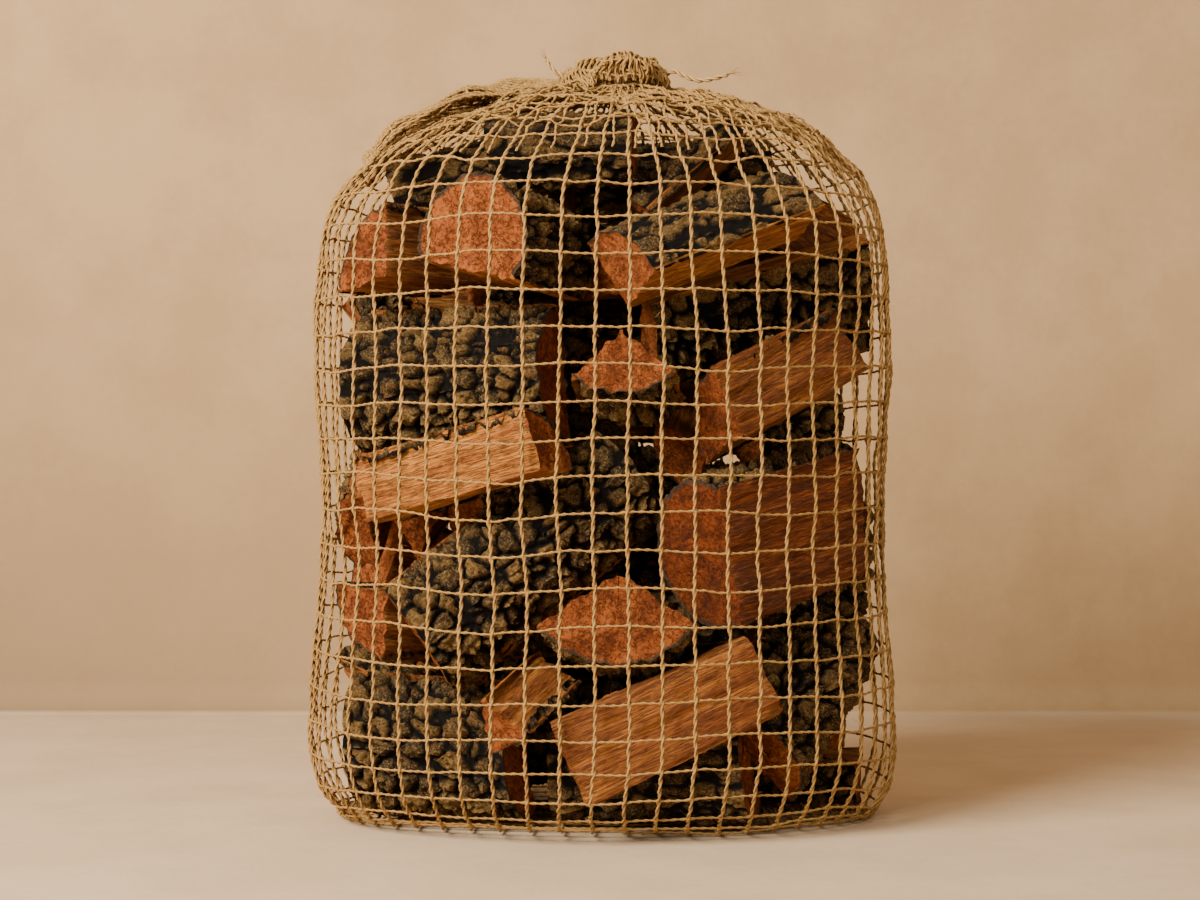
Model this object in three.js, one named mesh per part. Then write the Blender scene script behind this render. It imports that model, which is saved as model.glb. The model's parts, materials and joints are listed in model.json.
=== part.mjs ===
// A net bag of split firewood, standing on its base and tied at the neck.
//
// About fifty short logs with thick knobbly bark, a few left whole and most split, lie across each
// other in a bag of open jute netting. The netting is gathered above the logs and tied with twine.
//
// Millimetres, +Z up, +X to the right and -Y to the front. The origin is on the ground, under the
// middle of the bag.

import * as THREE from "three";

// ---- driving dimensions ----

const BAG_WIDTH = 388; // across the middle of the bag
const BAG_DEPTH = 340; // front to back
const BAG_SQUARENESS = 2.2; // exponent of its outline from above: 2 would be an ellipse
const NET_WALL = 2.4; // thickness of the netting
const LOG_GAP = 0.6; // clear space kept between two logs
const LOG_TO_NET = 5.2; // kept between a log and the outside of the net, whose facets lie inside it
const FLOOR_TO_LOG = 4; // the netting lies flat under the logs
const DOME_START = 405; // where the bag's sides start to close over the logs
const DOME_TOP = 472; // and the highest that a log may reach
const DOME_SLIDE = 0.6; // how much of a log's way back into the dome is level: it also goes down
const CROWN_TOP = 488; // where the netting closes in to the neck

// The bag's outline: height, and half width as a share of the bag's.
const BAG_OUTLINE = [
  [0, 0.9],
  [9, 0.985],
  [20, 1.03],
  [66, 1.02],
  [120, 1.0],
  [190, 0.98],
  [260, 0.99],
  [320, 1.0],
  [388, 0.985],
  [395, 0.98],
  [412, 0.962],
  [418, 0.947],
  [440, 0.862],
  [445, 0.833],
  [463, 0.69],
  [467, 0.648],
  [479, 0.46],
  [483, 0.37],
  [CROWN_TOP, 0.2],
];

// Above the outline the netting is gathered: height and radius of the waist and of the puff.
const NECK_AT = 8; // how far right of the middle it is tied
const WAIST_RADIUS = 18.5;
const GATHER = [
  [489.5, WAIST_RADIUS],
  [498, WAIST_RADIUS],
  [501, 27],
  [506, 31],
  [510, 25],
];
const PUFF_TOP = 512;

const BASE_HEIGHTS = [0, 9, 20]; // the grid's lines where the bottom of the bag turns up
const COLUMNS = 24; // upright strips of netting round the bag
const STRIP = 7; // their width, and the height of the level ones
const FIRST_ROW = 59; // underside of the lowest level strip
const ROW_RISE = 47;
const ROWS = 8;
const CROWN_ROWS = [412, 440, 463, 479]; // undersides of the strips over the logs
const CROWN_STRIP_TOPS = [418, 445, 467, 483];

const TIE_THICKNESS = 3.4;
const TIE_GAP = 1; // between the tie and the waist it goes round
const TIE_TURNS = [215, 690]; // degrees round the waist at which the tie meets it and leaves it
const TIE_HEIGHTS = [492.2, 496.8]; // of the tie's middle line at those two
const TIE_LEAD = [
  [-38, -15, 510],
  [-33, -17, 503],
  [-26, -18, 498],
  [-18, -17, 494],
];
const TIE_TAIL = [
  [33, -4, 497.5],
  [40, -1, 500],
  [48, -3, 504],
  [56, -7, 500],
  [64, -9, 497],
  [74, -9, 498],
  [84, -8, 501],
];
const TIE_POINTS = 24; // that its route has round the waist
const TIE_STEPS = 40; // rings along the whole tie
const TIE_SIDES = 8;

// ---- logs ----

// One log to a row. The place is the middle of its length. Heading turns its length from +X towards
// the back, tilt lifts its far end, and roll turns it on its own length: its bark is up at 0, to
// the front at 90 and down at 180. The last value is how firmly it keeps its place as they settle.
const LOGS = [
  // name, cut, radius, length, [x, y, z], heading, tilt, roll, firmness
  ["log_top_left", "quarter", 52, 92, [-130, -56, 376], 50, 2, -50, 6],
  ["log_top_end_on", "loaf", 45, 92, [-56, -100, 380], 92, 0, 10, 9],
  ["log_top_right", "quarter", 56, 130, [66, -100, 376], 28, 17, 12, 9],
  ["log_crown", "round", 34, 136, [34, 0, 430], 6, 0, 0, 2],
  ["log_crown_left", "round", 30, 105, [-74, -6, 430], 10, -4, 0, 2],
  ["log_shoulder_right", "quarter", 50, 100, [138, 6, 392], 66, 2, -40, 2],
  ["log_ridge", "slab", 60, 160, [88, -70, 336], 22, 28, 128, 9],
  ["log_knobbly_left", "half", 50, 148, [-90, -88, 298], -24, 5, 88, 9],
  ["log_long_split_left", "quarter", 46, 142, [-88, -106, 228], -22, 27, -48, 9],
  ["log_centre_wedge", "quarter", 50, 78, [16, -120, 280], 76, 0, 176, 9],
  ["log_split_upper_right", "quarter", 52, 126, [112, -90, 283], 38, 28, -66, 9],
  ["log_right_bark", "half", 34, 105, [142, -22, 246], 50, -4, 80, 2],
  ["log_big_end", "loaf", 52, 124, [98, -72, 196], 50, 2, -90, 9],
  ["log_diagonal", "half", 44, 176, [-46, -104, 172], -6, 50, 88, 9],
  ["log_low_wedge", "third", 64, 90, [20, -108, 138], 100, 4, 180, 9],
  ["log_long_split_low", "slab", 48, 136, [40, -136, 86], 2, 12, -88, 9],
  ["log_left_block", "quarter", 48, 98, [-134, -38, 136], 50, 4, -135, 6],
  ["log_knobbly_low", "half", 50, 112, [-108, -86, 52], -28, 4, 86, 9],
  ["log_left_wedge", "wedge", 44, 90, [-152, 4, 76], 84, 0, -30, 2],
  ["log_left_low", "quarter", 40, 100, [-138, 18, 26], 74, 0, 20, 1],
  ["log_low_right", "half", 45, 124, [134, -62, 90], 30, 54, 80, 9],
  ["log_thin_wedge", "wedge", 42, 80, [-46, -112, 74], 84, 0, 150, 6],
  ["log_base_front", "half", 42, 130, [26, -106, 24], 3, 0, 112, 9],
  ["log_base_right", "quarter", 44, 116, [130, -40, 30], 44, 0, 110, 3],
  ["log_left_back", "slab", 50, 130, [-158, 18, 246], 84, 8, -80, 1],
  ["log_heart_low", "round", 38, 180, [-10, -4, 60], 8, 0, 0, 1],
  ["log_heart_middle", "loaf", 40, 170, [-14, -6, 170], -14, 6, 30, 1],
  ["log_heart_upper", "half", 46, 170, [-6, -6, 262], 12, -8, 0, 1],
  ["log_heart_top", "half", 40, 160, [-6, 14, 350], -8, 0, 20, 1],
  ["log_back_base_left", "half", 46, 160, [-76, 88, 34], 14, 0, 180, 1],
  ["log_back_base_right", "quarter", 56, 160, [92, 84, 40], -30, 0, 190, 1],
  ["log_back_low", "half", 48, 170, [40, 118, 112], 4, -14, -90, 1],
  ["log_back_left", "half", 44, 140, [-100, 88, 132], 30, 34, -80, 1],
  ["log_back_right", "round", 42, 150, [118, 62, 180], 140, 24, 0, 1],
  ["log_back_split", "quarter", 54, 160, [-22, 120, 208], 170, 18, 40, 1],
  ["log_back_bark", "half", 50, 170, [64, 106, 290], -12, 14, -86, 1],
  ["log_back_upper_left", "quarter", 56, 150, [-98, 86, 298], 24, -20, 140, 1],
  ["log_back_top", "loaf", 40, 130, [-58, 84, 384], 10, 4, -60, 1],
  ["log_back_shoulder", "half", 44, 140, [80, 76, 394], -30, -6, -30, 1],
  ["log_inner_low", "half", 38, 100, [-45, 46, 120], 70, 0, 30, 1],
  ["log_inner_back", "quarter", 44, 96, [8, 54, 212], 80, 10, -40, 1],
  ["log_inner_high", "half", 36, 96, [40, 52, 304], 60, 0, 120, 1],
  ["log_inner_front", "quarter", 44, 90, [-20, -48, 312], 30, 0, 60, 1],
  ["log_inner_left", "half", 34, 92, [-68, -36, 214], 60, 10, 90, 1],
  ["log_inner_right", "quarter", 42, 92, [66, -44, 262], 100, 0, -120, 1],
  ["log_low_inner_front", "half", 32, 90, [54, -56, 66], 20, 0, 40, 1],
  ["log_left_upper", "wedge", 52, 96, [-136, -4, 318], 80, 20, 20, 1],
  ["log_right_edge", "half", 32, 92, [156, 14, 150], 80, 60, 90, 1],
  ["log_right_upper", "wedge", 50, 92, [150, 18, 318], 80, -20, 60, 1],
  ["log_top_middle", "quarter", 44, 86, [30, -44, 384], 90, 0, 30, 1],
  ["log_crown_front", "round", 27, 96, [-20, -62, 440], 14, 4, 0, 2],
  ["log_crown_back", "round", 30, 110, [-4, 66, 440], 8, 0, 0, 2],
  ["log_crown_right", "half", 28, 84, [76, -44, 440], -34, 0, 0, 2],
  ["log_low_right_back", "half", 34, 92, [117, 30, 108], 64, 0, 0, 1],
  ["log_left_middle", "wedge", 46, 90, [-122, 6, 196], 84, 0, 0, 1],
];

const BARK_STEP = THREE.MathUtils.degToRad(20); // between two points of an outline's bark
const TAPER = 0.05; // how much thinner a log's far end is
const SAW_SLANT = 0.07; // most that a sawn end is off square, as a slope
const BOARD_BARK = 84; // degrees of bark that a thick board keeps
const BOARD_INNER = 0.36; // how far its wide face is from the log's heart, as a share of the radius
const BOARD_SIDES = [-0.6, 0.56]; // and where its narrow sides meet that face
const OUT_OF_ROUND = 0.04;

// An outline's points are in a log's own cross-section, with the log's heart at 0 and its bark
// centred on +Y.
function arc(radius, sweep) {
  const steps = Math.round(sweep / BARK_STEP);
  return Array.from({ length: steps + 1 }, (_, i) => {
    const angle = Math.PI / 2 - sweep / 2 + (sweep * i) / steps;
    return new THREE.Vector2(Math.cos(angle), Math.sin(angle)).multiplyScalar(radius);
  });
}

// A piece split to the heart of the log: two flat faces that meet at a point.
function sector(radius, degrees) {
  return [...arc(radius, THREE.MathUtils.degToRad(degrees)), new THREE.Vector2(0, 0)];
}

// A log with one flat face split off it.
function segment(radius, degrees) {
  return arc(radius, THREE.MathUtils.degToRad(degrees));
}

// A thick board from the outside of a log: a strip of bark, two narrow sides and one wide face.
function board(radius) {
  const face = BOARD_SIDES.map((side) => new THREE.Vector2(side, BOARD_INNER).multiplyScalar(radius));
  return [...arc(radius, THREE.MathUtils.degToRad(BOARD_BARK)), ...face];
}

// A whole log, a little out of round.
function ring(radius) {
  const steps = Math.round((2 * Math.PI) / BARK_STEP);
  return Array.from({ length: steps }, (_, i) => {
    const angle = (2 * Math.PI * i) / steps;
    const reach = radius * (1 + OUT_OF_ROUND * Math.cos(2 * angle + 0.7));
    return new THREE.Vector2(Math.cos(angle), Math.sin(angle)).multiplyScalar(reach);
  });
}

const CUTS = {
  round: ring,
  loaf: (radius) => segment(radius, 236),
  half: (radius) => segment(radius, 180),
  third: (radius) => sector(radius, 112),
  quarter: (radius) => sector(radius, 96),
  wedge: (radius) => sector(radius, 62),
  slab: board,
};

// The outline moved so that its middle is at 0.
function centred(outline) {
  const middle = new THREE.Box2().setFromPoints(outline).getCenter(new THREE.Vector2());
  return outline.map((p) => p.clone().sub(middle));
}

// A closed prism along X whose sides run to one far point, so that they stay flat as it tapers.
// Each end is a flat cut: x = reach + slope . (y, z).
function billet(outline, length, slopeNear, slopeFar) {
  const end = (reach, slope) =>
    outline.map((p) => {
      const lean = slope.dot(p);
      const x = (reach + lean) / (1 + (lean * TAPER) / length);
      const share = 1 - (TAPER * x) / length;
      return new THREE.Vector3(x, p.x * share, p.y * share);
    });
  const near = end(-length / 2, slopeNear);
  const far = end(length / 2, slopeFar);
  const count = outline.length;
  const triangles = [];
  for (let i = 0; i < count; i++) {
    const next = (i + 1) % count;
    triangles.push(near[i], far[next], far[i], near[i], near[next], far[next]);
  }
  for (let i = 1; i + 1 < count; i++) {
    triangles.push(near[0], near[i + 1], near[i], far[0], far[i], far[i + 1]);
  }
  return { geometry: new THREE.BufferGeometry().setFromPoints(triangles), near, far };
}

// How far a sawn end leans off square, from two numbers between -1 and 1.
function sawSlope(u, v) {
  return new THREE.Vector2(u, v).multiplyScalar(SAW_SLANT);
}

// A log as a convex solid: its shape about its own middle, its corners, its faces, and the
// directions of its length and of the edges of its split faces.
function makeLog([name, cut, radius, length, place, heading, tilt, roll, firmness], index) {
  const outline = centred(CUTS[cut](radius));
  const slopeNear = sawSlope(Math.sin(index * 2.1), Math.cos(index * 3.7));
  const slopeFar = sawSlope(Math.cos(index * 1.3), Math.sin(index * 2.9));
  const { geometry, near, far } = billet(outline, length, slopeNear, slopeFar);
  const rims = near.map((p, i) => near[(i + 1) % near.length].clone().sub(p));
  const sides = near.map((p, i) => far[i].clone().sub(p));
  const splits = rims.filter((rim) => rim.length() > radius / 2); // a step of bark is shorter
  const across = (p, q) => p.clone().cross(q).normalize();
  const angles = [roll, -tilt, heading].map(THREE.MathUtils.degToRad);
  const turn = new THREE.Quaternion().setFromEuler(new THREE.Euler(...angles, "ZYX"));
  const middle = new THREE.Vector3(...place);
  return {
    name,
    geometry,
    weight: firmness,
    length,
    spin: length ** 2 / 12 + radius ** 2 / 4, // how hard it is to turn, for a unit weight
    home: { middle, turn },
    middle: middle.clone(),
    turn: turn.clone(),
    own: {
      corners: [...near, ...far],
      faces: [
        across(rims[0], rims[3]),
        across(far[1].clone().sub(far[0]), far[4].clone().sub(far[3])),
        ...rims.map((rim, i) => across(rim, sides[i])),
      ],
      edges: [new THREE.Vector3(1, 0, 0), ...splits.map((rim) => rim.normalize())],
    },
  };
}

// ---- the space inside the bag ----

// Linear between two rows of the outline.
function halfWidthShare(z) {
  const last = BAG_OUTLINE.length - 1;
  if (z >= BAG_OUTLINE[last][0]) return BAG_OUTLINE[last][1];
  const i = Math.max(1, BAG_OUTLINE.findIndex(([height]) => height > z));
  const [[lowZ, low], [highZ, high]] = [BAG_OUTLINE[i - 1], BAG_OUTLINE[i]];
  return low + ((high - low) * (z - lowZ)) / (highZ - lowZ);
}

// How far out a point is on the bag's outline from above: 1 on an outline of half widths 1.
function planReach(u, v) {
  return (Math.abs(u) ** BAG_SQUARENESS + Math.abs(v) ** BAG_SQUARENESS) ** (1 / BAG_SQUARENESS);
}

// The move that would bring a point back into the room that the bag leaves for logs.
function outsideBag({ x, y, z }) {
  const share = halfWidthShare(z > DOME_START ? z + LOG_TO_NET : Math.max(z, 0));
  const a = (share * BAG_WIDTH) / 2 - LOG_TO_NET;
  const b = (share * BAG_DEPTH) / 2 - LOG_TO_NET;
  const excess = Math.max(0, 1 - 1 / planReach(x / a, y / b));
  const inward = new THREE.Vector3(-x, -y, 0).multiplyScalar(excess);
  if (z > DOME_START) {
    inward.multiplyScalar(DOME_SLIDE);
    inward.z = -inward.length() - Math.max(0, z - DOME_TOP);
  }
  if (z < FLOOR_TO_LOG) inward.z = FLOOR_TO_LOG - z;
  return inward;
}

// ---- settling ----

const SETTLE_STEPS = 900;
const FREE_STEPS = 250; // at the end, when nothing draws the logs back
const HOME_PULL = 0.06; // share of the way back to its own place that a log goes in a step
const PUSH = 0.7; // share of an overlap that one step clears
const REACH = 130; // two logs whose middles are this far apart, plus half their lengths, can't touch

const turned = (vectors, turn) => vectors.map((v) => v.clone().applyQuaternion(turn));

// Brings a log's corners, faces and edges to where it now lies.
function refresh(log) {
  log.corners = turned(log.own.corners, log.turn).map((corner) => corner.add(log.middle));
  log.faces = turned(log.own.faces, log.turn);
  log.edges = turned(log.own.edges, log.turn);
}

// The lowest and highest of a log's corners in a direction.
function extent(log, direction) {
  let low = Infinity;
  let high = -Infinity;
  for (const corner of log.corners) {
    const reach = corner.dot(direction);
    if (reach < low) low = reach;
    if (reach > high) high = reach;
  }
  return [low, high];
}

// The shortest move that would take log b out of log a, or null if they are already apart: two
// convex solids are apart if they are in the direction of a face or across an edge of each.
function overlap(a, b) {
  if (a.middle.distanceTo(b.middle) > REACH + (a.length + b.length) / 2) return null;
  const directions = [...a.faces, ...b.faces];
  for (const p of a.edges) {
    for (const q of b.edges) {
      const across = p.clone().cross(q);
      if (across.lengthSq() > 1e-3) directions.push(across.normalize());
    }
  }
  let best = null;
  for (const direction of directions) {
    const [lowA, highA] = extent(a, direction);
    const [lowB, highB] = extent(b, direction);
    const ahead = highA - lowB + LOG_GAP;
    const behind = highB - lowA + LOG_GAP;
    const depth = Math.min(ahead, behind);
    if (depth <= 0) return null;
    if (!best || depth < best.depth) {
      best = { depth, direction: direction.clone().multiplyScalar(ahead < behind ? 1 : -1) };
    }
  }
  return best;
}

// Where the middle lines of two logs pass closest, as an arm from the middle of each.
function arms(a, b) {
  const [u, v] = [a.edges[0], b.edges[0]];
  const apart = a.middle.clone().sub(b.middle);
  const slant = u.dot(v);
  const spare = 1 - slant ** 2 + 1e-3;
  const limit = (t, log) => THREE.MathUtils.clamp(t, -log.length / 2, log.length / 2);
  const onA = limit((slant * apart.dot(v) - apart.dot(u)) / spare, a);
  const onB = limit(apart.dot(v) + onA * slant, b);
  return [u.clone().multiplyScalar(onA), v.clone().multiplyScalar(onB)];
}

// How easily a push at the end of an arm moves a log.
function give(log, arm, direction) {
  return (1 + arm.clone().cross(direction).lengthSq() / log.spin) / log.weight;
}

// Moves and turns a log as a push of this size at the end of the arm does.
function shove(log, arm, direction, size) {
  log.middle.addScaledVector(direction, size / log.weight);
  const twist = arm.clone().cross(direction).multiplyScalar(size / log.weight / log.spin);
  const angle = twist.length();
  if (angle > 0) {
    const step = new THREE.Quaternion().setFromAxisAngle(twist.normalize(), angle);
    log.turn.premultiply(step);
  }
  refresh(log);
}

// Moves a log in by the furthest that any of its corners is out.
function keepInside(log) {
  let worst = new THREE.Vector3();
  let arm = worst;
  for (const corner of log.corners) {
    const inward = outsideBag(corner);
    if (inward.length() <= worst.length()) continue;
    worst = inward;
    arm = corner.clone().sub(log.middle);
  }
  const size = worst.length();
  if (size === 0) return;
  worst.normalize();
  shove(log, arm, worst, size / give(log, arm, worst));
}

// Slides and turns the logs, a little at a time, until none overlaps another or leaves the bag.
function settle(logs) {
  logs.forEach(refresh);
  for (let step = 0; step < SETTLE_STEPS; step++) {
    const pull = HOME_PULL * Math.max(0, 1 - step / (SETTLE_STEPS - FREE_STEPS));
    for (const log of logs) {
      log.middle.lerp(log.home.middle, pull);
      log.turn.slerp(log.home.turn, pull);
      refresh(log);
    }
    logs.forEach((a, i) => {
      for (const b of logs.slice(i + 1)) {
        const found = overlap(a, b);
        if (!found) continue;
        const { depth, direction } = found;
        const [armA, armB] = arms(a, b);
        const size = (PUSH * depth) / (give(a, armA, direction) + give(b, armB, direction));
        shove(a, armA, direction, -size);
        shove(b, armB, direction, size);
      }
    });
    logs.forEach(keepInside);
  }
}

// ---- netting ----

const LAP_STEPS = 720; // fine enough to measure the way round the outline

// The bag's outline from above as points a given share of the way round, for half widths of 1.
function planPoints(shares) {
  const lap = Array.from({ length: LAP_STEPS + 1 }, (_, i) => {
    const angle = (2 * Math.PI * i) / LAP_STEPS;
    const [u, v] = [Math.cos(angle), Math.sin(angle)];
    return new THREE.Vector2(u, v).divideScalar(planReach(u, v));
  });
  const walked = [0];
  for (let i = 1; i < lap.length; i++) walked.push(walked[i - 1] + lap[i].distanceTo(lap[i - 1]));
  const round = walked[walked.length - 1];
  return shares.map((share) => {
    const at = share * round;
    const i = Math.max(1, walked.findIndex((length) => length >= at));
    return lap[i - 1].clone().lerp(lap[i], (at - walked[i - 1]) / (walked[i] - walked[i - 1]));
  });
}

// Heights at which the netting's grid has a line: the bottom turned up, then the two edges of
// each level strip.
function gridHeights() {
  const walls = Array.from({ length: ROWS }, (_, i) => FIRST_ROW + i * ROW_RISE);
  const strips = walls.flatMap((z) => [z, z + STRIP]);
  const crown = CROWN_ROWS.flatMap((z, i) => [z, CROWN_STRIP_TOPS[i]]);
  return [...BASE_HEIGHTS, ...strips, ...crown, CROWN_TOP];
}

// The half widths of the outside at each grid height, and of the inside one wall further in.
function bagRings() {
  const outside = gridHeights().map((z) => {
    const share = halfWidthShare(z);
    const closed = Math.max(0, (z - DOME_START) / (CROWN_TOP - DOME_START));
    return { z, a: (share * BAG_WIDTH) / 2, b: (share * BAG_DEPTH) / 2, shift: NECK_AT * closed };
  });
  const inside = outside.map((ring, i) => {
    const below = outside[Math.max(0, i - 1)];
    const above = outside[Math.min(outside.length - 1, i + 1)];
    const slope = new THREE.Vector2(above.a - below.a, above.z - below.z).normalize();
    const inward = i === 0 ? new THREE.Vector2(0, 1) : new THREE.Vector2(-slope.y, slope.x);
    inward.multiplyScalar(NET_WALL);
    return { z: ring.z + inward.y, a: ring.a + inward.x, b: ring.b + inward.x, shift: ring.shift };
  });
  return { outside, inside };
}

// A point of the outline's plan for each edge of each upright strip.
function stripEdges() {
  const half = STRIP / (Math.PI * (BAG_WIDTH + BAG_DEPTH));
  const middles = Array.from({ length: COLUMNS }, (_, i) => i / COLUMNS);
  return planPoints(middles.flatMap((share) => [(share - half + 1) % 1, share + half]));
}

// The netting as one closed skin: an outer and an inner surface on the same grid, joined round
// each window. The windows are the grid's cells between two upright and two level strips.
function netBag() {
  const { outside, inside } = bagRings();
  const plan = stripEdges();
  const around = plan.length;
  const ringPoints = ({ z, a, b, shift }) =>
    plan.map((p) => new THREE.Vector3(p.x * a + shift, p.y * b, z));
  const outer = outside.map(ringPoints);
  const inner = inside.map(ringPoints);
  const gather = GATHER.map(([z, radius]) => ringPoints({ z, a: radius, b: radius, shift: NECK_AT }));
  const triangles = [];
  const quad = (p, q, r, s) => triangles.push(p, q, r, p, r, s);
  const firstWindowRow = BASE_HEIGHTS.length - 1;
  const lastRow = outer.length - 1;
  const isWindow = (row, column) =>
    row >= firstWindowRow && row < lastRow - 1 && row % 2 === 0 && column % 2 === 1;
  for (let row = 0; row < lastRow; row++) {
    for (let column = 0; column < around; column++) {
      const next = (column + 1) % around;
      const [a, b] = [outer[row][column], outer[row][next]];
      const [c, d] = [outer[row + 1][next], outer[row + 1][column]];
      const [e, f] = [inner[row][column], inner[row][next]];
      const [g, h] = [inner[row + 1][next], inner[row + 1][column]];
      if (isWindow(row, column)) {
        quad(a, b, f, e);
        quad(c, d, h, g);
        quad(d, a, e, h);
        quad(b, c, g, f);
      } else {
        quad(a, b, c, d);
        quad(e, h, g, f);
      }
    }
  }
  const neck = [outer[lastRow], ...gather];
  for (let row = 0; row + 1 < neck.length; row++) {
    for (let column = 0; column < around; column++) {
      const next = (column + 1) % around;
      quad(neck[row][column], neck[row][next], neck[row + 1][next], neck[row + 1][column]);
    }
  }
  const cap = (ring, pole, up) => {
    ring.forEach((p, i) => {
      const q = ring[(i + 1) % around];
      triangles.push(...(up ? [p, q, pole] : [q, p, pole]));
    });
  };
  cap(outer[0], new THREE.Vector3(0, 0, 0), false);
  cap(neck[neck.length - 1], new THREE.Vector3(NECK_AT, 0, PUFF_TOP), true);
  cap(inner[0], new THREE.Vector3(0, 0, NET_WALL), true);
  cap(inner[lastRow], new THREE.Vector3(NECK_AT, 0, inner[lastRow][0].z), false);
  return new THREE.BufferGeometry().setFromPoints(triangles);
}

// ---- tie ----

// The tie's middle line: down from a short free end at the left, round the waist, and out to a
// longer free end at the right.
function tieRoute() {
  const radius = WAIST_RADIUS + TIE_THICKNESS / 2 + TIE_GAP;
  const [start, end] = TIE_TURNS.map(THREE.MathUtils.degToRad);
  const turns = Array.from({ length: TIE_POINTS + 1 }, (_, i) => {
    const share = i / TIE_POINTS;
    const angle = THREE.MathUtils.lerp(start, end, share);
    const z = THREE.MathUtils.lerp(...TIE_HEIGHTS, share);
    return [NECK_AT + radius * Math.cos(angle), radius * Math.sin(angle), z];
  });
  const route = [...TIE_LEAD, ...turns, ...TIE_TAIL];
  return new THREE.CatmullRomCurve3(route.map((p) => new THREE.Vector3(...p)));
}

function tie() {
  const corners = Array.from({ length: TIE_SIDES }, (_, i) => {
    const angle = (2 * Math.PI * i) / TIE_SIDES;
    return new THREE.Vector2(Math.cos(angle), Math.sin(angle)).multiplyScalar(TIE_THICKNESS / 2);
  });
  return new THREE.ExtrudeGeometry(new THREE.Shape(corners), {
    extrudePath: tieRoute(),
    steps: TIE_STEPS,
    bevelEnabled: false,
  });
}

// ---- the whole bag ----

const MATERIALS = {
  bark: new THREE.MeshStandardMaterial({ color: 0x574a3b, roughness: 0.95, metalness: 0 }),
  wood: new THREE.MeshStandardMaterial({ color: 0xb4683a, roughness: 0.8, metalness: 0 }),
  jute: new THREE.MeshStandardMaterial({ color: 0xc2a06a, roughness: 0.9, metalness: 0 }),
};
const BARKY = ["round", "loaf", "half"]; // the cuts that are more bark than split wood

function piece(name, geometry, material) {
  const mesh = new THREE.Mesh(geometry, material);
  mesh.name = name;
  return mesh;
}

function logPiece(log, cut) {
  const material = BARKY.includes(cut) ? MATERIALS.bark : MATERIALS.wood;
  const mesh = piece(log.name, log.geometry, material);
  mesh.position.copy(log.middle);
  mesh.quaternion.copy(log.turn);
  return mesh;
}

const bundle = new THREE.Group();
const logs = LOGS.map(makeLog);
settle(logs);
bundle.add(...logs.map((log, i) => logPiece(log, LOGS[i][1])));
bundle.add(piece("net_bag", netBag(), MATERIALS.jute));
bundle.add(piece("tie_cord", tie(), MATERIALS.jute));

export default bundle;
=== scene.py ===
"""A jute net bag of split firewood, standing on its base and tied at the neck.

Metres, +Z up and -Y to the front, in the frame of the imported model.
"""
import json
import math

import bpy
import numpy as np
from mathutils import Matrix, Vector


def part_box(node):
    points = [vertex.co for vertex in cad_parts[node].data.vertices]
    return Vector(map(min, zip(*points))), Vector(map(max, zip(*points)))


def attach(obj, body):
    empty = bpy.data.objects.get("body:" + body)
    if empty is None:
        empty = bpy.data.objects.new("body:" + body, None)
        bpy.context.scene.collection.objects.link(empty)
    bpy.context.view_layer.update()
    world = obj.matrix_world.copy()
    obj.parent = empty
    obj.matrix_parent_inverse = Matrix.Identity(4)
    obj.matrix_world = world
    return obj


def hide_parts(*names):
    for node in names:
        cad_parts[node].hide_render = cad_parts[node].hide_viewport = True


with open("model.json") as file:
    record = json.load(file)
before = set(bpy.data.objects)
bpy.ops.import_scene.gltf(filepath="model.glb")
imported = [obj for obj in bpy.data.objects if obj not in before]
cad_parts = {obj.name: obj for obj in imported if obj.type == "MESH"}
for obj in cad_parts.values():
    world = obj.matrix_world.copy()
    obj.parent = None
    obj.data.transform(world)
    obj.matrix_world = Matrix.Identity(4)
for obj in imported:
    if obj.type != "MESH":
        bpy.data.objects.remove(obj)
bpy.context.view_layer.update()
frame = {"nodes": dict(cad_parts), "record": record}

# ---- camera ----
# It stands level with the middle of the bag, square on to its front, and tips down very slightly.

CAMERA_PLACE = (-0.002, -1.8, 0.26)
CAMERA_TIP = 0.41  # degrees below level
SENSOR_WIDTH = 36  # millimetres, as is the lens
LENS = 79.4
camera_data = bpy.data.cameras.new("camera")
camera_data.sensor_width = SENSOR_WIDTH
camera_data.lens = LENS
camera = bpy.data.objects.new("camera", camera_data)
camera.location = CAMERA_PLACE
camera.rotation_euler = (math.radians(90 - CAMERA_TIP), 0, 0)
bpy.context.scene.collection.objects.link(camera)
bpy.context.scene.camera = camera

# ---- tie ----
# Two-ply jute twine, wound once and a third round the gathered neck. A short end stands up at the
# left and a longer, frayed one runs out to the right.

TIE_THICKNESS = 0.0034
TIE_PITCH = 0.013  # length of one turn of its two plies
TIE_STEP = 0.0012  # between two rings of its mesh
NECK = np.array([0.008, 0.0])
WAIST_RADIUS = 0.0185
TIE_GAP = 0.001  # between the tie and the netting that it holds
TIE_RADIUS = WAIST_RADIUS + TIE_THICKNESS / 2 + TIE_GAP
TIE_SIDES = 12
TIE_LAP = np.radians(np.linspace(215, 690, 25))  # from its first touch of the neck to its last
TIE_FOOT = 0.4922  # height of the lap's start
TIE_HEAD = 0.4968  # and of its end
TIE_LEAD = [(-0.038, -0.015, 0.510), (-0.033, -0.017, 0.503), (-0.026, -0.018, 0.498),
            (-0.018, -0.017, 0.494)]
TIE_TAIL = [(0.033, -0.004, 0.4975), (0.040, -0.001, 0.500), (0.048, -0.003, 0.504),
            (0.056, -0.007, 0.500), (0.064, -0.009, 0.497), (0.074, -0.009, 0.498),
            (0.084, -0.008, 0.501)]


def unit(vectors):
    """Each vector divided by its length."""
    return vectors / np.maximum(np.linalg.norm(vectors, axis=-1, keepdims=True), 1e-12)


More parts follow.
